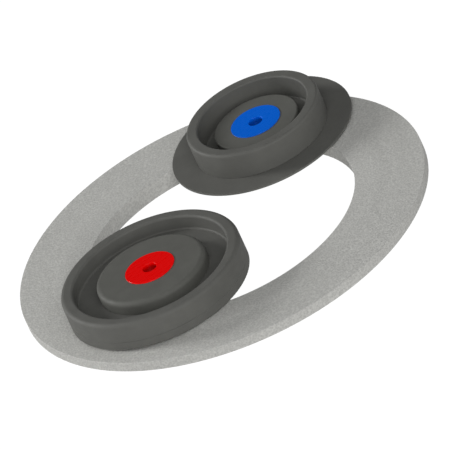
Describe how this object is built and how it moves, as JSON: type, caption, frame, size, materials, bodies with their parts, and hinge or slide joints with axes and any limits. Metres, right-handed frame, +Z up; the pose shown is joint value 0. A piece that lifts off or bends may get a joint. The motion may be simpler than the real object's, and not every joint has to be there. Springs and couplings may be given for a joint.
{
  "type": "ring with cup wheels",
  "caption": "Flat ring, raised round its hole, carrying free-spinning rubber cup wheels with grooved faces and coloured centre caps, one flanged and one straight-walled.",
  "frame": {"origin": "on the ring's axis, in the plane the ring rests on", "axes": "+Z up along the ring's axis and both spindles; the blue wheel stands 45 degrees round from +X towards +Y"},
  "size_m": [0.2716, 0.2716, 0.0307],
  "materials": {
    "ring": "fine-grained matt",
    "cup_rubber": "matt moulded rubber",
    "hub_rubber": "matt moulded rubber",
    "blue_cap": "satin",
    "red_cap": "satin",
    "bronze": "turned",
    "steel": "zinc plated",
    "aluminium": "machined",
    "washer": "smooth nylon"
  },
  "bodies": {
    "ring": {"ring_lower": "ring", "ring_upper": "ring", "ring_screws": "steel", "carrier_screws": "steel", "blue_carrier": "aluminium", "blue_spindle": "steel", "blue_lower_washer": "washer", "blue_upper_washer": "washer", "blue_nut": "steel", "red_carrier": "aluminium", "red_spindle": "steel", "red_lower_washer": "washer", "red_upper_washer": "washer", "red_nut": "steel"},
    "blue_wheel": {"blue_base": "cup_rubber", "blue_cup": "cup_rubber", "blue_hub": "hub_rubber", "blue_cap": "blue_cap", "blue_bush": "bronze", "blue_hub_screws": "steel"},
    "red_wheel": {"red_base": "cup_rubber", "red_cup": "cup_rubber", "red_hub": "hub_rubber", "red_cap": "red_cap", "red_bush": "bronze", "red_hub_screws": "steel"}
  },
  "joints": [
    {"name": "blue_spin", "type": "hinge", "parent": "ring", "child": "blue_wheel", "pos_m": [0.06483, 0.06483, 0.0115], "axis": [0, 0, 1], "continuous": true},
    {"name": "red_spin", "type": "hinge", "parent": "ring", "child": "red_wheel", "pos_m": [-0.06027, -0.02862, 0.0115], "axis": [0, 0, 1], "continuous": true}
  ]
}
